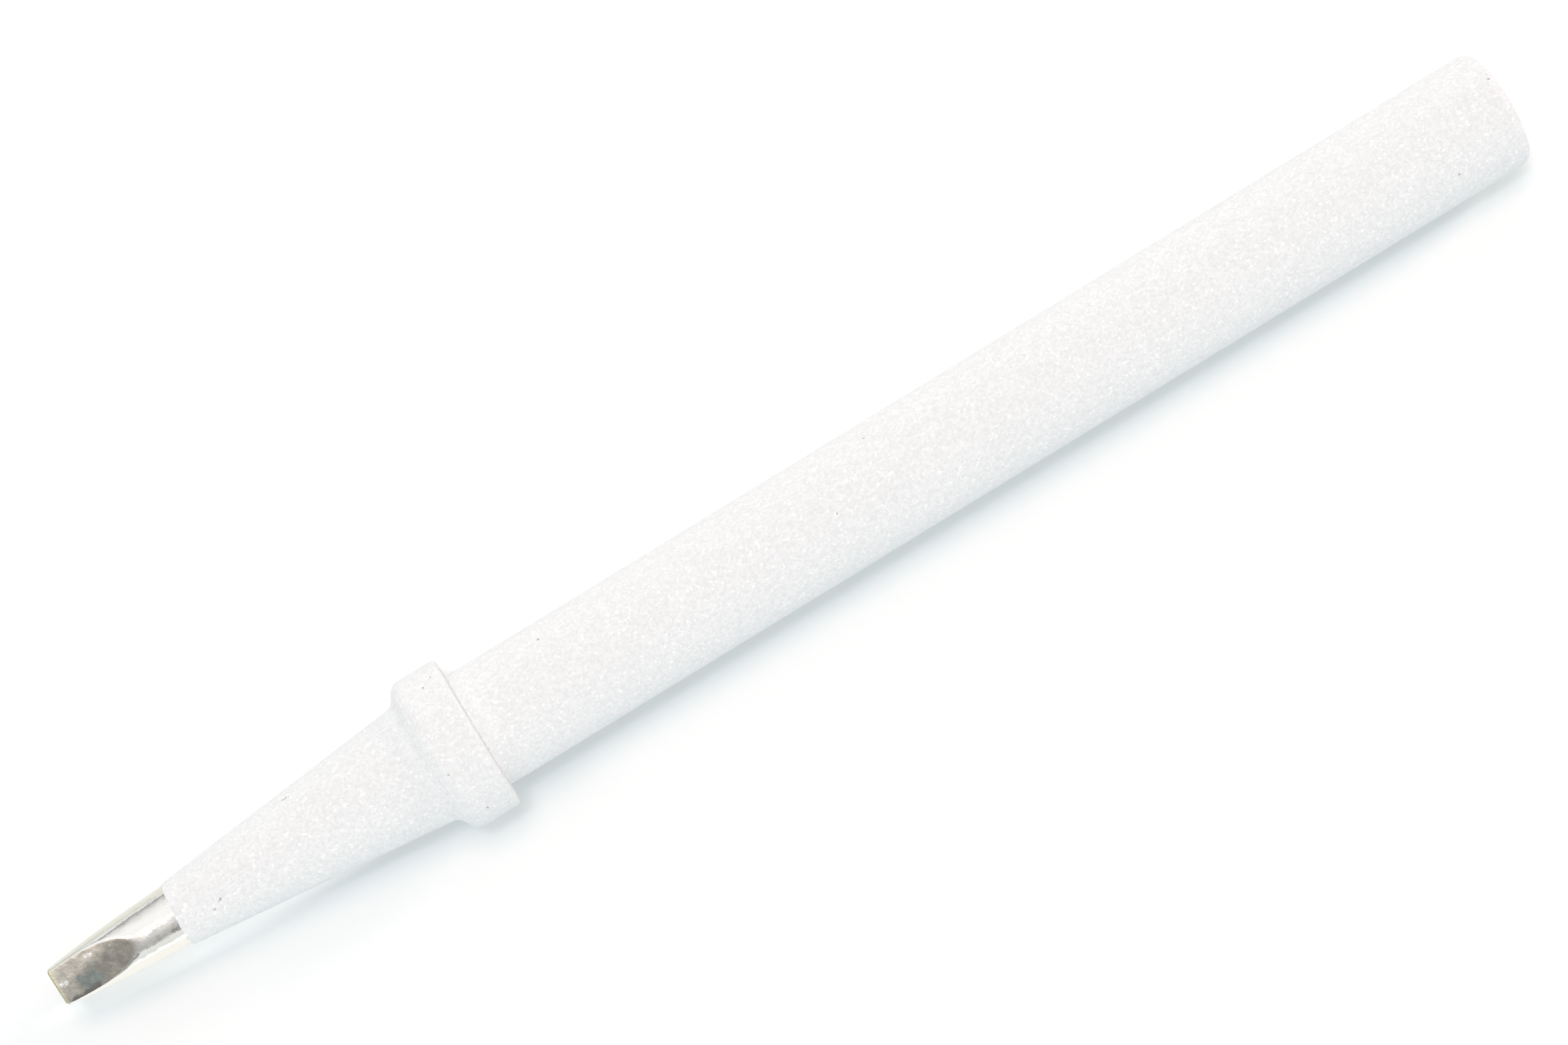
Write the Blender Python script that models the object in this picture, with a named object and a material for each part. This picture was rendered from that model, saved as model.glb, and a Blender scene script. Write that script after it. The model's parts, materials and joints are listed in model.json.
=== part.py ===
# A soldering iron tip with a chisel end, one turned and ground piece.
# From front to rear: a bare chisel end with two hollow-ground flats, a coated cone,
# a collar that stops against the heater, and a plain round shank that slides into it.
# The tip lies as it comes to rest on a flat surface at z = 0: on the rim of its collar
# and on the rear edge of its shank, pointing along -X, with its two flats rolled a little.

import math

import bmesh
import bpy
from mathutils import Matrix, Vector

MM = 0.001

# Shank
SHANK_DIAMETER = 4.8 * MM
SHANK_LENGTH = 45.32 * MM  # from the collar's rear face to the rear end
REAR_ROUNDING_LENGTH = 0.6 * MM
REAR_ROUNDING_DEPTH = 0.42 * MM

# Collar: a flat rear face, a plain rim and a sloping front
COLLAR_DIAMETER = 6.4 * MM
COLLAR_RIM_LENGTH = 1.92 * MM  # from the corner with the sloping front to the rear face
COLLAR_FRONT_ANGLE = math.radians(59.5)  # between the sloping front and the axis
COLLAR_FRONT_ROUNDING = 0.5 * MM
COLLAR_REAR_ROUNDING = 0.33 * MM
COLLAR_FILLET = 0.5 * MM  # in the corner where the cone meets the sloping front

# Cone, coated like the collar and the shank
CONE_LENGTH = 11.0 * MM
CONE_FRONT_DIAMETER = 2.63 * MM
CONE_TAPER = math.radians(6.0)  # between the cone's side and the axis
COAT_THICKNESS = 0.045 * MM  # how far the coat stands above the bare metal
COAT_EDGE_LENGTH = 0.12 * MM

# Bare end, in front of the coat
BARE_LENGTH = 5.33 * MM
CHISEL_WIDTH = 1.64 * MM
FLANK_BULGE = 0.058 * MM  # how far the flank's arc stands above a straight line
CHISEL_THICKNESS = 0.68 * MM  # at the very end
END_ROUNDING = 0.08 * MM
GRIND_RADIUS = 16.0 * MM  # of the wheel that hollows the flats
GRIND_ANGLE = math.radians(6.3)  # between a flat and the axis, at the very end
GRIND_CLEARANCE = 0.3 * MM  # how far a cutter goes on past the metal
CHISEL_ROLL = math.radians(5.0)  # of the flats about the axis, from level

# Fineness of the curves
SIDES = 64
ROUNDING_STEPS = 5
FLANK_STEPS = 10
GRIND_STEPS = 14
SHARP_ANGLE = math.radians(28.0)
MERGE_DISTANCE = 0.0001 * MM

# Sizes that follow from the ones above
SHANK_RADIUS = SHANK_DIAMETER / 2
COLLAR_RADIUS = COLLAR_DIAMETER / 2
CONE_FRONT_RADIUS = CONE_FRONT_DIAMETER / 2
CONE_REAR_RADIUS = CONE_FRONT_RADIUS + CONE_LENGTH * math.tan(CONE_TAPER)
BARE_REAR_RADIUS = CONE_FRONT_RADIUS - COAT_THICKNESS
CONE_REAR_X = BARE_LENGTH + CONE_LENGTH
RIM_FRONT_X = CONE_REAR_X + (COLLAR_RADIUS - CONE_REAR_RADIUS) / math.tan(COLLAR_FRONT_ANGLE)
COLLAR_REAR_X = RIM_FRONT_X + COLLAR_RIM_LENGTH
TOTAL_LENGTH = COLLAR_REAR_X + SHANK_LENGTH


def ellipse_arc(centre, half_length, half_height, start_degrees, end_degrees):
    """Points on an ellipse, with its angle counted from +x towards +r."""
    points = []
    for step in range(ROUNDING_STEPS + 1):
        share = step / ROUNDING_STEPS
        angle = math.radians(start_degrees + (end_degrees - start_degrees) * share)
        points.append(centre + Vector((half_length * math.cos(angle), half_height * math.sin(angle))))
    return points


def round_arc(centre, first, last, steps):
    """Points on a circle about the centre, the short way from one spoke to another."""
    start = math.atan2(first.y, first.x)
    sweep = math.atan2(first.cross(last), first.dot(last))
    points = []
    for step in range(steps + 1):
        angle = start + sweep * step / steps
        points.append(centre + first.length * Vector((math.cos(angle), math.sin(angle))))
    return points


def fillet(before, corner, after, radius):
    """The arc that rounds the corner between two straight stretches of an outline."""
    towards_before = (before - corner).normalized()
    towards_after = (after - corner).normalized()
    half_angle = towards_before.angle(towards_after) / 2
    inward = (towards_before + towards_after).normalized()
    centre = corner + inward * (radius / math.sin(half_angle))
    first = corner + towards_before * (radius / math.tan(half_angle)) - centre
    last = corner + towards_after * (radius / math.tan(half_angle)) - centre
    return round_arc(centre, first, last, ROUNDING_STEPS)


def flank_outline():
    """The bare end's side, a shallow outward arc between the chisel's corner and the coat."""
    front = Vector((0, CHISEL_WIDTH / 2))
    rear = Vector((BARE_LENGTH, BARE_REAR_RADIUS))
    chord = rear - front
    radius = (chord.length**2 / 4 + FLANK_BULGE**2) / (2 * FLANK_BULGE)
    outward = Vector((-chord.y, chord.x)).normalized()
    centre = (front + rear) / 2 - outward * (radius - FLANK_BULGE)
    return round_arc(centre, front - centre, rear - centre, FLANK_STEPS)


def bare_outline():
    """From the middle of the chisel's end, round its corner and along the flank to the coat."""
    end_centre = Vector((0, 0))
    flank = flank_outline()
    corner = fillet(end_centre, flank[0], flank[1], END_ROUNDING)
    return [end_centre] + corner + flank[1:]


def coated_outline():
    """From the coat's edge along the cone, over the collar and along the shank to the rear end."""
    coat_edge = ellipse_arc(
        Vector((BARE_LENGTH + COAT_EDGE_LENGTH, BARE_REAR_RADIUS)),
        COAT_EDGE_LENGTH,
        COAT_THICKNESS + COAT_EDGE_LENGTH * math.tan(CONE_TAPER),
        180,
        90,
    )
    cone_rear = Vector((CONE_REAR_X, CONE_REAR_RADIUS))
    rim_front = Vector((RIM_FRONT_X, COLLAR_RADIUS))
    rim_rear = Vector((COLLAR_REAR_X, COLLAR_RADIUS))
    shoulder = Vector((COLLAR_REAR_X, SHANK_RADIUS))
    rear_rounding = ellipse_arc(
        Vector((TOTAL_LENGTH - REAR_ROUNDING_LENGTH, SHANK_RADIUS - REAR_ROUNDING_DEPTH)),
        REAR_ROUNDING_LENGTH,
        REAR_ROUNDING_DEPTH,
        90,
        0,
    )
    return (
        coat_edge[1:]
        + fillet(coat_edge[-1], cone_rear, rim_front, COLLAR_FILLET)
        + fillet(cone_rear, rim_front, rim_rear, COLLAR_FRONT_ROUNDING)
        + fillet(rim_front, rim_rear, shoulder, COLLAR_REAR_ROUNDING)
        + [shoulder]
        + rear_rounding
        + [Vector((TOTAL_LENGTH, 0))]
    )


def turned_mesh(name, outline):
    """The outline turned about the X axis, with the middle of one side straight down."""
    mesh_tool = bmesh.new()
    half_side = Matrix.Rotation(math.pi / SIDES, 4, "X")
    points = [mesh_tool.verts.new(half_side @ Vector((point.x, 0, -point.y))) for point in outline]
    lines = [mesh_tool.edges.new(pair) for pair in zip(points, points[1:])]
    bmesh.ops.spin(
        mesh_tool,
        geom=points + lines,
        cent=(0, 0, 0),
        axis=(1, 0, 0),
        angle=2 * math.pi,
        steps=SIDES,
        use_merge=True,
    )
    bmesh.ops.remove_doubles(mesh_tool, verts=mesh_tool.verts, dist=MERGE_DISTANCE)
    bmesh.ops.recalc_face_normals(mesh_tool, faces=mesh_tool.faces)
    for face in mesh_tool.faces:
        face.material_index = int(face.calc_center_median().x < BARE_LENGTH)
    mesh = bpy.data.meshes.new(name)
    mesh_tool.to_mesh(mesh)
    mesh_tool.free()
    return mesh


def grind_outline():
    """The space that the grinding wheel takes: over the chisel's end, down its rounding, up the hollow."""
    end_edge = Vector((0, CHISEL_THICKNESS / 2))
    centre = end_edge + GRIND_RADIUS * Vector((-math.sin(GRIND_ANGLE), math.cos(GRIND_ANGLE)))
    top = BARE_REAR_RADIUS + GRIND_CLEARANCE
    last_angle = math.acos((centre.y - top) / GRIND_RADIUS)
    hollow = []
    for step in range(GRIND_STEPS + 1):
        angle = GRIND_ANGLE + (last_angle - GRIND_ANGLE) * step / GRIND_STEPS
        hollow.append(centre + GRIND_RADIUS * Vector((math.sin(angle), -math.cos(angle))))
    rounding = fillet(Vector((0, 0)), end_edge, hollow[1], END_ROUNDING)
    front_low = Vector((-GRIND_CLEARANCE, rounding[0].y))
    front_high = Vector((-GRIND_CLEARANCE, top + GRIND_CLEARANCE))
    rear_high = Vector((hollow[-1].x, top + GRIND_CLEARANCE))
    return [front_low] + rounding + hollow[1:] + [rear_high, front_high]


def cutter_mesh(name):
    """The grinding outline carried across the tip's whole width."""
    mesh_tool = bmesh.new()
    half_width = BARE_REAR_RADIUS + GRIND_CLEARANCE
    points = [mesh_tool.verts.new((point.x, -half_width, point.y)) for point in grind_outline()]
    side = mesh_tool.faces.new(points)
    grown = bmesh.ops.extrude_face_region(mesh_tool, geom=[side])
    far_points = [part for part in grown["geom"] if isinstance(part, bmesh.types.BMVert)]
    bmesh.ops.translate(mesh_tool, verts=far_points, vec=(0, 2 * half_width, 0))
    bmesh.ops.recalc_face_normals(mesh_tool, faces=mesh_tool.faces)
    for face in mesh_tool.faces:
        face.material_index = 1
    mesh = bpy.data.meshes.new(name)
    mesh_tool.to_mesh(mesh)
    mesh_tool.free()
    return mesh


def plain_material(name, colour, roughness, metallic):
    material = bpy.data.materials.new(name)
    material.use_nodes = True
    shader = material.node_tree.nodes["Principled BSDF"]
    shader.inputs["Base Color"].default_value = (*colour, 1.0)
    shader.inputs["Roughness"].default_value = roughness
    shader.inputs["Metallic"].default_value = metallic
    return material


def add_object(name, mesh, materials, parent):
    for material in materials:
        mesh.materials.append(material)
    added = bpy.data.objects.new(name, mesh)
    bpy.context.scene.collection.objects.link(added)
    added.parent = parent
    return added


def resting_frame():
    """An empty on the tip's axis at half its length, tilted and lifted so that the tip rests at z = 0."""
    flat_share = math.cos(math.pi / SIDES)
    collar_contact = Vector((COLLAR_REAR_X - COLLAR_REAR_ROUNDING, COLLAR_RADIUS * flat_share))
    shank_contact = Vector((TOTAL_LENGTH - REAR_ROUNDING_LENGTH, SHANK_RADIUS * flat_share))
    reach = shank_contact.x - collar_contact.x
    tilt = math.atan((collar_contact.y - shank_contact.y) / reach)
    along = collar_contact.x - TOTAL_LENGTH / 2
    height = along * math.sin(tilt) + collar_contact.y * math.cos(tilt)
    frame = bpy.data.objects.new("resting_frame", None)
    frame.empty_display_size = COLLAR_DIAMETER
    frame.location = (0, 0, height)
    frame.rotation_euler = (0, tilt, 0)
    bpy.context.scene.collection.objects.link(frame)
    return frame


def grind_flats(tip, materials, parent):
    """Cuts the two flats, half a turn apart, and leaves the cut shape as the tip's own mesh."""
    shape = cutter_mesh("grinding_cutter")
    for material in materials:
        shape.materials.append(material)
    cutters = []
    for number, half_turns in enumerate((0, 1)):
        cutter = add_object(f"grinding_cutter_{number}", shape, [], parent)
        cutter.location = tip.location
        cutter.rotation_euler = (CHISEL_ROLL + half_turns * math.pi, 0, 0)
        cutter.hide_render = True
        cutter.display_type = "WIRE"
        cut = tip.modifiers.new(f"flat_{number}", "BOOLEAN")
        cut.operation = "DIFFERENCE"
        cut.solver = "EXACT"
        cut.object = cutter
        cutters.append(cutter)
    bpy.context.view_layer.update()
    graph = bpy.context.evaluated_depsgraph_get()
    ground = bpy.data.meshes.new_from_object(tip.evaluated_get(graph))
    ground.name = "ground_tip"
    tip.modifiers.clear()
    tip.data = ground
    for cutter in cutters:
        bpy.data.objects.remove(cutter)


def main():
    for leftover in list(bpy.data.objects):
        bpy.data.objects.remove(leftover)
    coat = plain_material("matte_plating", (0.83, 0.83, 0.82), 0.55, 0.3)
    bare = plain_material("tinned_metal", (0.62, 0.59, 0.54), 0.28, 1.0)
    materials = [coat, bare]
    frame = resting_frame()
    blank = turned_mesh("turned_blank", bare_outline() + coated_outline())
    tip = add_object("soldering_tip", blank, materials, frame)
    tip.location = (-TOTAL_LENGTH / 2, 0, 0)
    grind_flats(tip, materials, frame)
    tip.data.shade_smooth()
    tip.data.set_sharp_from_angle(angle=SHARP_ANGLE)


main()
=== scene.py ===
import json
import math

import bmesh
import bpy
from mathutils import Matrix, Vector, noise


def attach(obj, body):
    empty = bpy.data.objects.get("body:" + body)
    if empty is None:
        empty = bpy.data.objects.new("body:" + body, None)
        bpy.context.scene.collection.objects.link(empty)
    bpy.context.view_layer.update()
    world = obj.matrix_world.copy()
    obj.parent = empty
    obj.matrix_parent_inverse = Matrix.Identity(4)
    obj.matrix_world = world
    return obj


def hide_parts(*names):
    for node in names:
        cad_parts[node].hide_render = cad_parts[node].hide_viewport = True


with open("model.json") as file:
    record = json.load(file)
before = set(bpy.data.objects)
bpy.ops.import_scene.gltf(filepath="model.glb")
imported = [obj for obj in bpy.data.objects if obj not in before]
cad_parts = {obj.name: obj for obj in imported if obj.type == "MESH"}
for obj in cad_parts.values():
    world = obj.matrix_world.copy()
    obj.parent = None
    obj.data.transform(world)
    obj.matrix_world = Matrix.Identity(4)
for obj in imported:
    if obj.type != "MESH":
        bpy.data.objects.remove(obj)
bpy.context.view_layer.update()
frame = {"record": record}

mm = 0.001
closeBy = 0.0002 * mm    # points this near each other are one
tipNode = "soldering_tip"

# the turned shape, in mm and degrees, counted from the chisel's end
turnedShape = {
    "totalLength": 64.0,
    "coatStart": 5.33,
    "coneLength": 11.0,
    "coneFrontRadius": 1.315,
    "coneTaper": 6.0,
    "frontSlope": 59.5,
    "collarRadius": 3.2,
    "rimLength": 1.92,
    "shankRadius": 2.4,
}


# the tip's own frame: x along its axis from the chisel's end, as the solid lies
def tipPlacement():
    mounts = {mount["name"]: mount for mount in frame["record"]["mounts"]}
    rearCentre = Vector(mounts["shank_end"]["pos_m"])
    along = Vector(mounts["shank_end"]["axis"]).normalized()
    across = Vector((0, 1, 0))
    upward = along.cross(across)
    place = Matrix((along, across, upward)).transposed().to_4x4()
    place.translation = rearCentre - along * turnedShape["totalLength"] * mm
    return place


tipPlace = tipPlacement()


# mesh helpers

def startProfile(bm, corners):
    # corners are (distance along, radius) in mm, joined in their order
    points = [bm.verts.new((along * mm, 0, radius * mm)) for along, radius in corners]
    for first, second in zip(points, points[1:]):
        bm.edges.new((first, second))
    return points


def roundCorner(bm, corner, radius):
    # rounds one corner of a profile with an arc of this radius in mm
    ends = [edge.other_vert(corner).co - corner.co for edge in corner.link_edges]
    halfAngle = ends[0].angle(ends[1]) / 2
    bmesh.ops.bevel(
        bm, geom=[corner], offset=radius * mm / math.tan(halfAngle), offset_type="OFFSET",
        segments=8, profile=0.5, affect="VERTICES", material=-1)


def divideRows(bm, spacing):
    # cuts each long stretch of a profile into rows about this far apart, in mm
    for edge in list(bm.edges):
        cuts = int(edge.calc_length() / (spacing * mm))
        if cuts:
            bmesh.ops.subdivide_edges(bm, edges=[edge], cuts=cuts)


def turnProfile(bm, sides):
    bmesh.ops.spin(
        bm, geom=bm.verts[:] + bm.edges[:], cent=(0, 0, 0), axis=(1, 0, 0),
        angle=math.tau, steps=sides, use_merge=True)
    bmesh.ops.remove_doubles(bm, verts=bm.verts, dist=closeBy)
    bmesh.ops.recalc_face_normals(bm, faces=bm.faces)


def finishPiece(bm, name, material):
    # puts the turned mesh where the solid lies and hands it over
    bm.normal_update()
    bmesh.ops.transform(bm, matrix=tipPlace, verts=bm.verts)
    mesh = bpy.data.meshes.new(name)
    bm.to_mesh(mesh)
    bm.free()
    mesh.shade_smooth()
    mesh.materials.append(material)
    piece = bpy.data.objects.new(name, mesh)
    bpy.context.scene.collection.objects.link(piece)
    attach(piece, "root")
    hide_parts(tipNode)
    print(name, "has", sum(len(face.vertices) - 2 for face in mesh.polygons), "triangles")


# shader helpers

def feed(tree, socket, value):
    # a socket takes either a link or a constant
    if isinstance(value, bpy.types.NodeSocket):
        tree.links.new(value, socket)
    else:
        socket.default_value = value


def addNode(tree, kind, settings=None, **inputs):
    node = tree.nodes.new(kind)
    for name, value in (settings or {}).items():
        setattr(node, name, value)
    for name, value in inputs.items():
        feed(tree, node.inputs[name.replace("_", " ")], value)
    return node


def addMath(tree, operation, first, second=0.0):
    node = addNode(tree, "ShaderNodeMath", {"operation": operation})
    feed(tree, node.inputs[0], first)
    feed(tree, node.inputs[1], second)
    return node.outputs["Value"]


def addRange(tree, value, source=(0.0, 1.0), result=(0.0, 1.0), kind="LINEAR"):
    # carries a value from the source's two limits to the result's, and goes past neither
    node = addNode(
        tree, "ShaderNodeMapRange", {"interpolation_type": kind}, Value=value,
        From_Min=source[0], From_Max=source[1], To_Min=result[0], To_Max=result[1])
    return node.outputs["Result"]


def addNoise(tree, place, scale, detail, roughness):
    node = addNode(
        tree, "ShaderNodeTexNoise", None, Vector=place, Scale=scale, Detail=detail, Roughness=roughness)
    return node.outputs["Fac"]


def addBump(tree, height, depth):
    # depth is in mm, for a height of 1
    node = addNode(tree, "ShaderNodeBump", None, Strength=1.0, Distance=depth * mm, Height=height)
    return node.outputs["Normal"]


def addRamp(tree, share, stops):
    ramp = addNode(tree, "ShaderNodeValToRGB", None, Fac=share)
    elements = ramp.color_ramp.elements
    elements.remove(elements[1])
    for index, (position, colour) in enumerate(stops):
        element = elements.new(position) if index else elements[0]
        element.position = position
        element.color = colour
    return ramp.outputs["Color"]


def addColourMix(tree, share, first, second, blend="MIX"):
    node = addNode(tree, "ShaderNodeMix", {"data_type": "RGBA", "blend_type": blend})
    # this node has sockets for every kind of data, and these are its share and its two colours
    for index, value in ((0, share), (6, first), (7, second)):
        feed(tree, node.inputs[index], value)
    return node.outputs[2]


def newMaterial(name):
    material = bpy.data.materials.new(name)
    material.use_nodes = True
    tree = material.node_tree
    return material, tree, tree.nodes["Principled BSDF"]


def newGroup(name, inputs, outputs):
    tree = bpy.data.node_groups.new(name, "ShaderNodeTree")
    for socketName, socketType in inputs:
        tree.interface.new_socket(socketName, in_out="INPUT", socket_type=socketType)
    for socketName, socketType in outputs:
        tree.interface.new_socket(socketName, in_out="OUTPUT", socket_type=socketType)
    return tree, tree.nodes.new("NodeGroupInput"), tree.nodes.new("NodeGroupOutput")


def addGroup(tree, group, **inputs):
    return addNode(tree, "ShaderNodeGroup", {"node_tree": group}, **inputs)


def tipCoordinates(tree):
    # object coordinates turned and moved so that x runs along the tip from its chisel end, in mm
    coordinates = addNode(tree, "ShaderNodeTexCoord")
    back = tipPlace.inverted()
    mapping = addNode(
        tree, "ShaderNodeMapping", {"vector_type": "POINT"},
        Vector=coordinates.outputs["Object"],
        Location=back.translation / mm, Rotation=back.to_euler(), Scale=(1 / mm,) * 3)
    return mapping.outputs["Vector"]


def buildSpotGroup():
    # a soft round mask about one place on the tip, in mm, on top of the mask that it is given
    tree, inside, outside = newGroup(
        "spot",
        [("Coordinates", "NodeSocketVector"), ("Place", "NodeSocketVector"),
         ("Radius", "NodeSocketFloat"), ("Stray", "NodeSocketFloat"), ("Mask", "NodeSocketFloat")],
        [("Mask", "NodeSocketFloat")])
    offset = addNode(
        tree, "ShaderNodeVectorMath", {"operation": "SUBTRACT"}, Vector=inside.outputs["Coordinates"])
    tree.links.new(inside.outputs["Place"], offset.inputs[1])
    length = addNode(
        tree, "ShaderNodeVectorMath", {"operation": "LENGTH"}, Vector=offset.outputs["Vector"])
    reach = addMath(tree, "ADD", length.outputs["Value"], inside.outputs["Stray"])
    share = addMath(tree, "DIVIDE", reach, inside.outputs["Radius"])
    # full in its inner half
    near = addRange(tree, share, (1.0, 0.5), kind="SMOOTHSTEP")
    most = addMath(tree, "MAXIMUM", near, inside.outputs["Mask"])
    tree.links.new(most, outside.inputs["Mask"])
    return tree


def buildGrainGroup():
    # crystals on top of softer lumps, as one height from about 0 to 1
    tree, inside, outside = newGroup(
        "crystal_grain",
        [("Coordinates", "NodeSocketVector"), ("Size", "NodeSocketFloat")],
        [("Height", "NodeSocketFloat"), ("Random", "NodeSocketFloat")])
    crystalShare = 0.4
    perMm = addMath(tree, "DIVIDE", 1.0, inside.outputs["Size"])
    lumps = addNoise(tree, inside.outputs["Coordinates"], perMm, detail=1.5, roughness=0.6)
    crystals = addNode(
        tree, "ShaderNodeTexVoronoi", {"feature": "F1"},
        Vector=inside.outputs["Coordinates"], Scale=perMm, Randomness=1.0)
    domes = addMath(tree, "SUBTRACT", 1.0, crystals.outputs["Distance"])
    height = addMath(
        tree, "ADD", addMath(tree, "MULTIPLY", domes, crystalShare),
        addMath(tree, "MULTIPLY", lumps, 1 - crystalShare))
    colours = addNode(tree, "ShaderNodeSeparateColor", None, Color=crystals.outputs["Color"])
    tree.links.new(height, outside.inputs["Height"])
    tree.links.new(colours.outputs["Red"], outside.inputs["Random"])
    return tree


def buildStrayGroup():
    # a distance in mm that wanders to both sides of zero, so that round shapes turn ragged
    tree, inside, outside = newGroup(
        "stray",
        [("Coordinates", "NodeSocketVector"), ("Size", "NodeSocketFloat"), ("Reach", "NodeSocketFloat")],
        [("Stray", "NodeSocketFloat")])
    noiseSwing = 0.25    # about how far the noise goes to each side of its middle
    perMm = addMath(tree, "DIVIDE", 1.0, inside.outputs["Size"])
    bent = addNoise(tree, inside.outputs["Coordinates"], perMm, detail=2.0, roughness=0.5)
    centred = addMath(tree, "DIVIDE", addMath(tree, "SUBTRACT", bent, 0.5), noiseSwing)
    stray = addMath(tree, "MULTIPLY", centred, inside.outputs["Reach"])
    tree.links.new(stray, outside.inputs["Stray"])
    return tree


spotGroup = buildSpotGroup()
grainGroup = buildGrainGroup()
strayGroup = buildStrayGroup()


def addSpots(tree, coordinates, spots, stray):
    # one mask for all of these spots, each a place and a radius in mm
    mask = 0.0
    for place, radius in spots:
        spot = addGroup(
            tree, spotGroup, Coordinates=coordinates, Place=place, Radius=radius,
            Stray=stray.outputs["Stray"], Mask=mask)
        mask = spot.outputs["Mask"]
    return mask


def aroundTip(along, degrees, radius):
    # a place on the surface, in mm: degrees are counted from the top towards -y
    angle = math.radians(degrees)
    return (along, -radius * math.sin(angle), radius * math.cos(angle))


# the matte plating

platingLook = {
    "lightGrain": (0.895, 0.918, 0.922, 1),
    "darkGrain": (0.803, 0.824, 0.827, 1),
    "paintedGlint": (0.96, 0.965, 0.96, 1),
    "paintedGlintShare": 0.04,    # of the grains that are bright, as painted glints
    "pitColour": (0.5, 0.49, 0.46, 1),
    "pitBend": 0.03,       # how far a pit's outline strays, mm
    "pitBendSize": 0.08,   # of one such bend, mm
    "grainSize": 0.085,
    "grainDepth": 0.02,
    "roughness": 0.7,
    "diffuseRoughness": 0.4,
    "specular": 0.3,
}

platingPits = [
    # distance along, degrees from the top, radius there, size, all in mm but the degrees
    (11.06, -58, 1.92, 0.045),
    (11.15, -57, 1.93, 0.05),
    (11.24, -57, 1.94, 0.05),
    (11.33, -56, 1.95, 0.045),
    (7.08, 14, 1.5, 0.055),
    (7.16, 13, 1.51, 0.06),
    (6.72, 22, 1.46, 0.055),
    (6.78, 23, 1.47, 0.05),
    (17.82, -50, 3.2, 0.07),
    (18.23, -56, 3.2, 0.05),
    (16.95, 15, 3.2, 0.05),
    (17.53, 56, 3.2, 0.07),
    (22.43, -47, 2.4, 0.06),
    (34.42, 2, 2.4, 0.05),
    (36.8, -49, 2.4, 0.05),
    (60.97, 36, 2.4, 0.06),
    (63.74, -27, 2.4, 0.09),
    (63.78, -33, 2.4, 0.08),
]


def platingMaterial():
    look = platingLook
    material, tree, shader = newMaterial("matte_plating")
    place = tipCoordinates(tree)
    grain = addGroup(tree, grainGroup, Coordinates=place, Size=look["grainSize"])
    colour = addColourMix(tree, grain.outputs["Random"], look["darkGrain"], look["lightGrain"])
    # the brightest grains are painted glints, a painted highlight in the base colour
    isPaintedGlint = addMath(tree, "GREATER_THAN", grain.outputs["Random"], 1 - look["paintedGlintShare"])
    colour = addColourMix(tree, isPaintedGlint, colour, look["paintedGlint"])
    stray = addGroup(
        tree, strayGroup, Coordinates=place, Size=look["pitBendSize"], Reach=look["pitBend"])
    pits = [(aroundTip(along, degrees, radius), size) for along, degrees, radius, size in platingPits]
    pitted = addSpots(tree, place, pits, stray)
    colour = addColourMix(tree, pitted, colour, look["pitColour"])
    normal = addBump(tree, grain.outputs["Height"], look["grainDepth"])
    tree.links.new(colour, shader.inputs["Base Color"])
    tree.links.new(normal, shader.inputs["Normal"])
    shader.inputs["Roughness"].default_value = look["roughness"]
    shader.inputs["Diffuse Roughness"].default_value = look["diffuseRoughness"]
    shader.inputs["Specular IOR Level"].default_value = look["specular"]
    return material


platedBody = {
    "sides": 160,
    "rowSpacing": 0.13,
    "lumpSize": 0.3,       # of the real unevenness in the mesh
    "lumpHeight": 0.004,   # to each side
    "sink": 0.006,         # of the whole surface, so that it stays inside the solid's box
    "socketDepth": 0.3,    # how far the bare metal goes on under the plating
    "socketOverlap": 0.01,
    "platingThickness": 0.045,
    "lipRadius": 1.29,
    "lipLength": 0.3,
    "lipRounding": 0.02,   # at the plating's very edge, and where the lip meets the cone
    "lipBlend": 0.6,
    "frontRounding": 0.5,
    "rearRounding": 0.22,
    "fillet": 0.5,         # where the cone runs into the collar
    "endDepth": 0.36,
    "endLength": 0.45,
    "edgeShift": 0.07,     # how far the plating's front edge leans back on the +y side
    "edgeStray": 0.05,     # and how far it strays everywhere
    "edgeReach": 1.0,      # over which length this fades out
}


def bareRearRadius():
    return turnedShape["coneFrontRadius"] - platedBody["platingThickness"]


def startPlatedProfile(bm):
    # from the socket for the bare metal round to the middle of the rear end, with sharp corners
    shape = turnedShape
    body = platedBody
    taper = math.tan(math.radians(shape["coneTaper"]))
    slope = math.tan(math.radians(shape["frontSlope"]))
    coatStart = shape["coatStart"]
    socketRadius = bareRearRadius() - body["socketOverlap"]
    coneRear = coatStart + shape["coneLength"]
    coneRearRadius = shape["coneFrontRadius"] + shape["coneLength"] * taper
    rimFront = coneRear + (shape["collarRadius"] - coneRearRadius) / slope
    collarRear = rimFront + shape["rimLength"]
    return startProfile(bm, [
        (coatStart + body["socketDepth"], 0),
        (coatStart + body["socketDepth"], socketRadius),
        (coatStart, socketRadius),
        (coatStart, body["lipRadius"]),
        (coatStart + body["lipLength"], shape["coneFrontRadius"] + body["lipLength"] * taper),
        (coneRear, coneRearRadius),
        (rimFront, shape["collarRadius"]),
        (collarRear, shape["collarRadius"]),
        (collarRear, shape["shankRadius"]),
        (shape["totalLength"], shape["shankRadius"]),
        (shape["totalLength"], 0),
    ])


def roundRearEnd(bm, corner):
    # an arc, then stretched along the tip
    rear = turnedShape["totalLength"]
    depth = platedBody["endDepth"]
    roundCorner(bm, corner, depth)
    rounded = [v for v in bm.verts if v.co.x > (rear - depth) * mm - closeBy]
    stretch = platedBody["endLength"] / depth
    atEnd = Matrix.Translation((-rear * mm, 0, 0))
    bmesh.ops.scale(bm, vec=(stretch, 1, 1), space=atEnd, verts=rounded)


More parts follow.
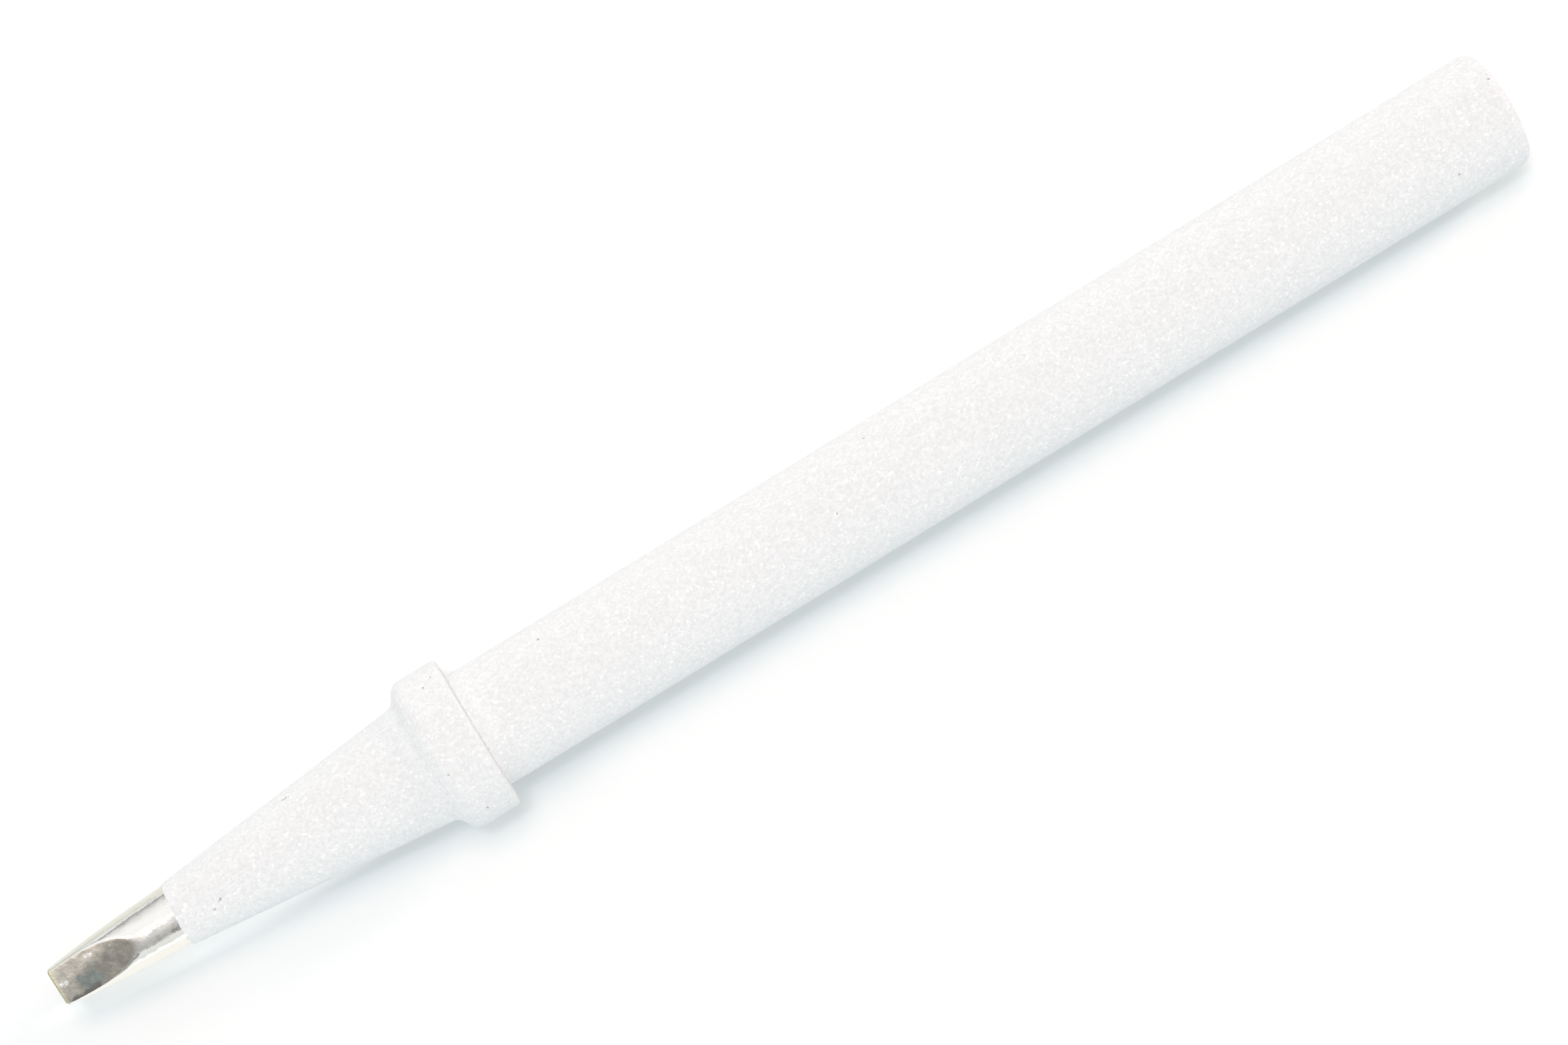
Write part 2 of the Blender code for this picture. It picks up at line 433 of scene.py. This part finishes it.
def leanFrontEdge(bm):
    body = platedBody
    for v in bm.verts:
        fade = 1 - (v.co.x / mm - turnedShape["coatStart"]) / body["edgeReach"]
        if fade > 0:
            sideways = v.co.y / (turnedShape["coneFrontRadius"] * mm)
            stray = noise.noise(Vector((0, v.co.y, v.co.z)) / (body["lumpSize"] * mm))
            v.co.x += (body["edgeShift"] * sideways + body["edgeStray"] * stray) * fade * mm


def raiseLumps(bm, values):
    # the slight unevenness of a real surface
    for v in bm.verts:
        height = noise.noise(v.co / (values["lumpSize"] * mm)) * values["lumpHeight"]
        v.co += v.normal * (height - values["sink"]) * mm


def buildPlatedBody(material):
    body = platedBody
    bm = bmesh.new()
    corners = startPlatedProfile(bm)
    roundings = [
        body["lipRounding"], body["lipBlend"], body["fillet"], body["frontRounding"],
        body["rearRounding"]]
    for corner, radius in zip(corners[3:8], roundings):
        roundCorner(bm, corner, radius)
    roundRearEnd(bm, corners[9])
    divideRows(bm, body["rowSpacing"])
    turnProfile(bm, body["sides"])
    bm.normal_update()
    leanFrontEdge(bm)
    raiseLumps(bm, body)
    finishPiece(bm, "plated_body", material)


# the bare, tinned chisel end

chiselEnd = {
    "sides": 288,
    "rowSpacing": 0.035,
    "width": 1.6,
    "thickness": 0.7,
    "grindRadius": 16.0,
    "grindAngle": 6.3,
    "crownRadius": 12.0,   # of the tin on the flats, across the tip
    "roll": 5.0,
    "flankBulge": 0.058,
    "endRounding": 0.1,
    "edgeSoftness": 0.07,
    "filmInset": -0.012,   # of the film from each flat's edge; below 0 it goes past
    "flatsMiddle": 2.4,    # beyond this, film off the flat is part of the tongue
    "tongueEnd": 5.2,      # the film runs on past each flat in a tongue, up to here
    "tongueTaper": 0.8,
    "tongueHalfWidth": 0.34,
    "tongueSoftness": 0.2,
    "tongueTurn": -3.0,
    "lumpSize": 0.4,
    "lumpHeight": 0.01,
    "sink": 0.005,
    "stub": 0.25,          # of bare metal under the plating
}

tinLook = {
    # the bare tin's colour by the angle from the top, - towards +y, with painted shade: darker and greener
    # far to the +y side, a little darker far to the -y side
    "paintedShadeTones": [
        (-56, (0.75, 0.74, 0.65, 1)), (-48, (0.99, 0.94, 0.89, 1)), (20, (0.99, 0.94, 0.89, 1)),
        (28, (1.0, 0.95, 0.89, 1)), (35, (0.93, 0.91, 0.84, 1))],
    "frontFilm": (0.62, 0.585, 0.515, 1),
    # the film behind is painted darker, painted shade over the film's own colour
    "shadedBackFilm": (0.49, 0.462, 0.405, 1),
    "filmShade": 0.8,      # how dark the film's clouds are beside it
    "filmShadeFrom": (0.38, 0.6),
    "filmEdge": (0.35, 0.65),      # of the ragged mask, where the film starts and is full
    "tongueFilm": (0.73, 0.71, 0.67, 1),
    "paleColour": (0.93, 0.91, 0.88, 1),
    "shadeColour": (0.41, 0.39, 0.35, 1),
    "tealColour": (0.31, 0.35, 0.33, 1),
    "darkColour": (0.26, 0.25, 0.23, 1),
    "edgeColour": (0.74, 0.7, 0.5, 1),
    "endBand": (0.2, 0.06),       # mm from the chisel's end, where the yellowish edge colour starts and is full
    "cloudSize": 0.35,
    "cloudRelief": 2.0,
    "grainSize": 0.09,
    "grainRelief": 0.5,
    "reliefDepth": 0.008,
    "roughness": 0.1,
    "filmRoughness": 0.36,
    "filmMetal": 0.92,
    "tongueMetal": 0.75,
    "backFilmFrom": (0.3, 1.6),    # mm from the chisel's end, more on the +y side
    "backFilmLean": 4.0,
    "spotBend": 0.07,
    "spotBendSize": 0.2,
    "raggedSize": 0.16,
    "raggedFrom": (3.2, 4.1),      # mm from the chisel's end, where the film turns ragged
    "raggedMost": 3.0,
}

# spots on the flats: distance along, distance to the +y side, radius, in mm
tinSpots = {
    "paleColour": [
        (1.66, 0.49, 0.14), (1.78, 0.42, 0.1), (0.28, 0.0, 0.13), (0.45, -0.02, 0.12), (2.63, 0.34, 0.06)],
    "shadeColour": [(1.55, -0.25, 0.6), (2.3, -0.1, 0.4)],
    "tealColour": [(1.15, -0.38, 0.36), (1.45, -0.42, 0.42), (1.0, -0.2, 0.26)],
    "darkColour": [
        (0.4, -0.76, 0.18), (0.55, -0.77, 0.2), (0.7, -0.78, 0.2), (0.85, -0.78, 0.2),
        (1.0, -0.77, 0.2), (1.15, -0.75, 0.2), (1.3, -0.73, 0.2), (1.45, -0.7, 0.18)],
}


def flatHeight(along):
    # half the chisel's thickness on its hollow-ground flats, in mm
    angle = math.radians(chiselEnd["grindAngle"])
    wheel = chiselEnd["grindRadius"]
    centreAlong = -wheel * math.sin(angle)
    centreHeight = chiselEnd["thickness"] / 2 + wheel * math.cos(angle)
    return centreHeight - math.sqrt(wheel ** 2 - (along - centreAlong) ** 2)


def crownedReach(height, angle):
    # distance from the axis to a flat of this half height, crowned across, in this direction
    crown = chiselEnd["crownRadius"]
    upward = abs(math.cos(angle))
    sideways = max(math.sin(angle) ** 2, 1e-6)    # kept off zero, as it divides
    return (math.sqrt(upward ** 2 + 2 * height * sideways / crown) - upward) * crown / sideways


def keepShare(value):
    return min(max(value, 0), 1)


def softMinimum(first, second, softness):
    share = keepShare(0.5 + 0.5 * (second - first) / softness)
    return second * (1 - share) + first * share - softness * share * (1 - share)


def filmMask(tree, place, parts):
    # the mesh's own mask, with a ragged rear edge
    look = tinLook
    film = addNode(tree, "ShaderNodeAttribute", {"attribute_name": "film"}).outputs["Fac"]
    fine = addNoise(tree, place, 1 / look["raggedSize"], detail=3.0, roughness=0.7)
    raggedness = addRange(tree, parts["X"], look["raggedFrom"], (0.0, look["raggedMost"]))
    stray = addMath(tree, "MULTIPLY", addMath(tree, "SUBTRACT", fine, 0.5), raggedness)
    return addRange(tree, addMath(tree, "ADD", film, stray), look["filmEdge"], kind="SMOOTHSTEP")


def bareTinColourAndShade(tree, parts):
    # the ramp's length stands for the angles from -90 to 90 degrees about the top; its darker ends are
    # painted shade
    mirrored = addMath(tree, "MULTIPLY", parts["Y"], -1.0)
    turned = addMath(tree, "ARCTAN2", mirrored, parts["Z"])
    share = addRange(tree, turned, (-math.pi / 2, math.pi / 2))
    stops = [((angle + 90) / 180, tone) for angle, tone in tinLook["paintedShadeTones"]]
    return addRamp(tree, share, stops)


def filmColour(tree, parts, clouds, beyond):
    # pale in front and darker behind as painted shade, then the spots, the tongue and the clouds over it
    look = tinLook
    leaning = addMath(tree, "MULTIPLY", parts["Y"], look["backFilmLean"])
    backward = addRange(tree, addMath(tree, "SUBTRACT", parts["X"], leaning), look["backFilmFrom"])
    colour = addColourMix(tree, backward, look["frontFilm"], look["shadedBackFilm"])
    flatPlace = addNode(
        tree, "ShaderNodeCombineXYZ", None, X=parts["X"], Y=parts["Y"]).outputs["Vector"]
    stray = addGroup(
        tree, strayGroup, Coordinates=flatPlace, Size=look["spotBendSize"], Reach=look["spotBend"])
    for name, spots in tinSpots.items():
        places = [((along, across, 0), radius) for along, across, radius in spots]
        colour = addColourMix(tree, addSpots(tree, flatPlace, places, stray), colour, look[name])
    colour = addColourMix(tree, beyond, colour, look["tongueFilm"])
    shades = addRange(tree, clouds, look["filmShadeFrom"], (look["filmShade"], 1.0), "SMOOTHSTEP")
    shaded = addNode(tree, "ShaderNodeVectorMath", {"operation": "SCALE"}, Vector=colour, Scale=shades)
    return shaded.outputs["Vector"]


def tinRelief(tree, place, clouds, filmed):
    # soft dents everywhere, and a grain where the film lies
    look = tinLook
    grain = addGroup(tree, grainGroup, Coordinates=place, Size=look["grainSize"])
    filmGrain = addMath(tree, "MULTIPLY", grain.outputs["Height"], filmed)
    relief = addMath(
        tree, "ADD", addMath(tree, "MULTIPLY", clouds, look["cloudRelief"]),
        addMath(tree, "MULTIPLY", filmGrain, look["grainRelief"]))
    return addBump(tree, relief, look["reliefDepth"])


def tinMaterial():
    look = tinLook
    material, tree, shader = newMaterial("tinned_metal")
    place = tipCoordinates(tree)
    parts = addNode(tree, "ShaderNodeSeparateXYZ", None, Vector=place).outputs
    clouds = addNoise(tree, place, 1 / look["cloudSize"], detail=3.0, roughness=0.6)
    filmed = filmMask(tree, place, parts)
    beyond = addNode(tree, "ShaderNodeAttribute", {"attribute_name": "beyond_flat"}).outputs["Fac"]
    film = filmColour(tree, parts, clouds, beyond)
    colour = addColourMix(tree, filmed, bareTinColourAndShade(tree, parts), film)
    inEndBand = addRange(tree, parts["X"], look["endBand"], kind="SMOOTHSTEP")
    colour = addColourMix(tree, inEndBand, colour, look["edgeColour"])
    roughness = addRange(tree, filmed, result=(look["roughness"], look["filmRoughness"]))
    filmMetal = addRange(tree, beyond, result=(look["filmMetal"], look["tongueMetal"]))
    metal = addRange(tree, filmed, result=(1.0, filmMetal))
    tree.links.new(colour, shader.inputs["Base Color"])
    tree.links.new(roughness, shader.inputs["Roughness"])
    tree.links.new(metal, shader.inputs["Metallic"])
    tree.links.new(tinRelief(tree, place, clouds, filmed), shader.inputs["Normal"])
    return material


def flankBulge(share):
    # how far the flank stands out of a straight line at this share of its length, in mm
    return chiselEnd["flankBulge"] * 4 * share * (1 - share)


def bulgeFlank(bm):
    end = chiselEnd
    for v in bm.verts:
        share = v.co.x / (turnedShape["coatStart"] * mm)
        if v.co.z > (end["width"] / 2 - end["endRounding"]) * mm and share <= 1:
            v.co.z += flankBulge(share) * mm


def tongueShare(along, radius, fromFlat):
    # 1 within the tongue of film that runs on past each flat
    end = chiselEnd
    halfWidth = min(end["tongueTaper"] * (end["tongueEnd"] - along), end["tongueHalfWidth"])
    beside = abs(radius * math.sin(fromFlat + math.radians(end["tongueTurn"])))
    return keepShare((halfWidth - beside) / end["tongueSoftness"] + 0.5)


def grindFlats(bm):
    # brings each point that lies outside the flats in to them, and notes where the film lies
    end = chiselEnd
    roll = math.radians(end["roll"])
    film = bm.verts.layers.float.new("film")
    beyond = bm.verts.layers.float.new("beyond_flat")
    for v in bm.verts:
        radius = math.hypot(v.co.y, v.co.z) / mm
        if radius < 1e-6:
            continue
        along = v.co.x / mm
        share = min(along / turnedShape["coatStart"], 1)
        flank = end["width"] / 2 + (bareRearRadius() - end["width"] / 2) * share + flankBulge(share)
        fromFlat = math.atan2(-v.co.y, v.co.z) - roll
        limit = crownedReach(flatHeight(along), fromFlat)
        factor = softMinimum(flank, limit, end["edgeSoftness"]) / flank
        v.co.y *= factor
        v.co.z *= factor
        onFlat = keepShare((flank - limit - end["filmInset"]) / end["edgeSoftness"])
        v[film] = max(onFlat, tongueShare(along, radius, fromFlat))
        v[beyond] = 1 - onFlat if along > end["flatsMiddle"] else 0


def buildChiselEnd(material):
    end = chiselEnd
    rear = turnedShape["coatStart"] + end["stub"]
    bm = bmesh.new()
    corners = startProfile(bm, [(0, 0), (0, end["width"] / 2), (rear, bareRearRadius()), (rear, 0)])
    roundCorner(bm, corners[1], end["endRounding"])
    divideRows(bm, end["rowSpacing"])
    bulgeFlank(bm)
    turnProfile(bm, end["sides"])
    grindFlats(bm)
    bm.normal_update()
    raiseLumps(bm, end)
    finishPiece(bm, "chisel_end", material)


# floor, lamps and camera

# lengths in mm
studio = {
    "floorRadius": 1500,
    "floorSides": 96,
    "floorEdge": 3.2,              # its distance from the chisel's end, past the picture's left side
    "floorColour": (0.895, 0.935, 0.94, 1),
    "floorRoughness": 0.9,
    "floorGlow": 0.06,
    "skyTint": (0.95, 0.99, 1.01, 1),
    "skyMost": 7.0,
    # the sky's level by the angle from straight up, - towards +y and + towards -y, up to skySpan:
    # straight across the tip, and beside that
    "skySpan": 120,
    "levelsAcross": [
        (-98, 0.9), (-94, 0.4), (-88, 0.4), (-77, 0.74), (-60, 0.94), (-45, 1.02), (-10, 0.97),
        (3, 0.88), (15, 0.71), (25, 0.54), (38, 0.28), (46, 0.28), (53, 0.77), (62, 0.86), (75, 0.8),
        (90, 1.9)],
    "levelsBeside": [
        (-98, 0.7), (-94, 0.25), (-88, 0.25), (-75, 0.5), (-60, 0.5), (-50, 0.03), (-6, 0.03),
        (2, 0.1), (35, 0.15), (47, 0.4), (54, 1.2), (68, 1.2), (80, 3.5), (90, 6.8)],
    "acrossHalfWidth": (36, 44),   # degrees along the tip, fully across and fully beside
    "endsLevel": 0.65,             # towards both ends of the tip
    "endsFrom": (46, 60),
    "lampTints": {"warm": (1.0, 0.71, 0.58), "cool": (0.68, 0.84, 1.0), "white": (1.0, 1.0, 1.0)},
    "lampDistance": 450,
    # tint, degrees from straight up towards +y, degrees towards the tip's rear, size in mm, watts
    "lamps": [
        ("warm", 14, 0, 140, 0.455), ("warm", 20, 60, 100, 0.29), ("warm", 14, -30, 100, 0.085),
        ("cool", 8, -5, 50, 0.23), ("white", 40, 5, 180, 0.05)],
    # a painted pool of light on the floor beside the bare metal, a glow that lights nothing: place and
    # reach along and across, and how much
    "paintedPoolPlace": (6.0, -1.44),
    "paintedPoolReach": (9.0, 0.82),
    "paintedPoolTurn": -4,
    "paintedPoolFull": 0.3,              # the share of that reach within which it is even
    "paintedPoolGlow": 0.25,
    "glowColour": (1.0, 0.96, 0.92, 1),
}


def paintedPoolDistance(tree):
    # distance from the middle of the painted pool of light beside the bare metal, 1 where it ends
    along, across = studio["paintedPoolPlace"]
    chiselPlace = tipPlace.to_translation() / mm
    coordinates = addNode(tree, "ShaderNodeTexCoord")
    # a texture mapping divides by these lengths
    mapping = addNode(
        tree, "ShaderNodeMapping", {"vector_type": "TEXTURE"}, Vector=coordinates.outputs["Object"],
        Location=Vector((chiselPlace.x + along, chiselPlace.y + across, 0)) * mm,
        Rotation=(0, 0, math.radians(studio["paintedPoolTurn"])),
        Scale=(studio["paintedPoolReach"][0] * mm, studio["paintedPoolReach"][1] * mm, 1))
    length = addNode(
        tree, "ShaderNodeVectorMath", {"operation": "LENGTH"}, Vector=mapping.outputs["Vector"])
    return length.outputs["Value"]


def floorMaterial():
    material, tree, shader = newMaterial("pale_floor")
    shader.inputs["Base Color"].default_value = studio["floorColour"]
    shader.inputs["Roughness"].default_value = studio["floorRoughness"]
    shader.inputs["Specular IOR Level"].default_value = 0.0
    # the glow is seen and mirrored, and lights nothing matte
    path = addNode(tree, "ShaderNodeLightPath").outputs
    seen = addMath(tree, "MAXIMUM", path["Is Camera Ray"], path["Is Glossy Ray"])
    seen = addMath(tree, "MAXIMUM", seen, path["Is Transmission Ray"])
    # the floor glows brighter beside the bare metal, a painted pool of light
    levels = (studio["floorGlow"] + studio["paintedPoolGlow"], studio["floorGlow"])
    paintedPool = addRange(tree, paintedPoolDistance(tree), (studio["paintedPoolFull"], 1.0), levels, "SMOOTHSTEP")
    glow = addNode(
        tree, "ShaderNodeEmission", None, Color=studio["glowColour"],
        Strength=addMath(tree, "MULTIPLY", seen, paintedPool))
    both = addNode(tree, "ShaderNodeAddShader")
    tree.links.new(shader.outputs["BSDF"], both.inputs[0])
    tree.links.new(glow.outputs["Emission"], both.inputs[1])
    tree.links.new(both.outputs["Shader"], tree.nodes["Material Output"].inputs["Surface"])
    return material


def buildFloor(material):
    bm = bmesh.new()
    bmesh.ops.create_circle(
        bm, cap_ends=True, segments=studio["floorSides"], radius=studio["floorRadius"] * mm)
    # the floor ends just past the picture's left side
    turn = math.radians(view["turn"])
    leftward = Vector((-math.cos(turn), math.sin(turn), 0))
    chiselPlace = tipPlace.to_translation()
    chiselPlace.z = 0
    bmesh.ops.bisect_plane(
        bm, geom=bm.verts[:] + bm.edges[:] + bm.faces[:],
        plane_co=chiselPlace + leftward * studio["floorEdge"] * mm, plane_no=leftward, clear_outer=True)
    mesh = bpy.data.meshes.new("floor")
    bm.to_mesh(mesh)
    bm.free()
    mesh.materials.append(material)
    floor = bpy.data.objects.new("floor", mesh)
    bpy.context.scene.collection.objects.link(floor)


def skyGrey(level):
    # a level as a share of the brightest one
    return (level / studio["skyMost"],) * 3 + (1,)


def addSkyRamp(tree, share, levels):
    # the ramp's middle stands for straight up
    return addRamp(tree, share, [
        (0.5 + degrees / studio["skySpan"] / 2, skyGrey(level)) for degrees, level in levels])


def sines(angles):
    return [math.sin(math.radians(angle)) for angle in angles]


def skyColour(tree):
    # bands of light along the tip, as from long soft boxes, with a dark ceiling beside them
    direction = addNode(tree, "ShaderNodeTexCoord").outputs["Generated"]
    parts = addNode(tree, "ShaderNodeSeparateXYZ", None, Vector=direction).outputs
    towards = addMath(tree, "MULTIPLY", parts["Y"], -1.0)
    angle = addMath(tree, "ARCTAN2", towards, parts["Z"])
    span = math.radians(studio["skySpan"])
    share = addRange(tree, angle, (-span, span))
    across = addSkyRamp(tree, share, studio["levelsAcross"])
    beside = addSkyRamp(tree, share, studio["levelsBeside"])
    along = addMath(tree, "ABSOLUTE", parts["X"])
    aside = addRange(tree, along, sines(studio["acrossHalfWidth"]), kind="SMOOTHSTEP")
    endward = addRange(tree, along, sines(studio["endsFrom"]), kind="SMOOTHSTEP")
    level = addColourMix(tree, aside, across, beside)
    level = addColourMix(tree, endward, level, skyGrey(studio["endsLevel"]))
    return addColourMix(tree, 1.0, level, studio["skyTint"], "MULTIPLY")


def buildSky():
    world = bpy.data.worlds.new("studio")
    world.use_nodes = True
    tree = world.node_tree
    background = tree.nodes["Background"]
    # the camera sees plain white
    path = addNode(tree, "ShaderNodeLightPath").outputs
    colour = addColourMix(tree, path["Is Camera Ray"], skyColour(tree), skyGrey(1))
    tree.links.new(colour, background.inputs["Color"])
    background.inputs["Strength"].default_value = studio["skyMost"]
    bpy.context.scene.world = world


def buildLamps(target):
    for number, (tint, across, along, size, power) in enumerate(studio["lamps"]):
        lean = math.radians(across)
        rearward = math.radians(along)
        away = Vector((
            math.sin(rearward), math.sin(lean) * math.cos(rearward),
            math.cos(lean) * math.cos(rearward)))
        name = "lamp_" + str(number)
        lamp = bpy.data.lights.new(name, "AREA")
        lamp.shape = "DISK"
        lamp.size = size * mm
        lamp.energy = power
        lamp.color = studio["lampTints"][tint]
        holder = bpy.data.objects.new(name, lamp)
        holder.location = target + away * studio["lampDistance"] * mm
        holder.rotation_euler = away.to_track_quat("Z", "Y").to_euler()
        bpy.context.scene.collection.objects.link(holder)


view = {
    "distance": 172.0,        # from the lens to the tip's axis, mm
    "width": 59.41,           # of what the picture takes in at the axis, mm
    "centreAlong": 32.69,     # the picture's middle, mm from the chisel's end
    "centreAcross": 0.672,    # and to the +y side of the axis, mm
    "squareAlong": 22.7,      # where the lens looks at the tip squarely, as the picture is a part
                              # of a wider one
    "turn": 31.47,            # of the tip against the picture's lower edge, degrees
    "sensor": 36.0,
    "clip": (5, 10000),       # what the lens takes in, from and to, mm
}


def buildCamera():
    camera = bpy.data.cameras.new("camera")
    camera.sensor_width = view["sensor"]
    camera.lens = view["sensor"] * view["distance"] / view["width"]
    camera.clip_start = view["clip"][0] * mm
    camera.clip_end = view["clip"][1] * mm
    holder = bpy.data.objects.new("camera", camera)
    turn = math.radians(view["turn"])
    # the shift moves the picture's middle without turning the lens
    aside = view["centreAlong"] - view["squareAlong"]
    camera.shift_x = aside * math.cos(turn) / view["width"]
    camera.shift_y = aside * math.sin(turn) / view["width"]
    middle = Vector((view["centreAlong"], view["centreAcross"], 0)) * mm
    lens = Vector((view["squareAlong"], view["centreAcross"], view["distance"])) * mm
    place = tipPlace @ Matrix.Translation(lens)
    place = place @ Matrix.Rotation(-turn, 4, "Z")
    holder.location = place.to_translation()
    holder.rotation_euler = place.to_euler()
    bpy.context.scene.collection.objects.link(holder)
    bpy.context.scene.camera = holder
    return tipPlace @ middle


print("building the pieces")
buildPlatedBody(platingMaterial())
buildChiselEnd(tinMaterial())
print("building the studio")
buildFloor(floorMaterial())
buildSky()
pictureMiddle = buildCamera()
buildLamps(pictureMiddle)
bpy.context.scene.view_settings.view_transform = "Standard"
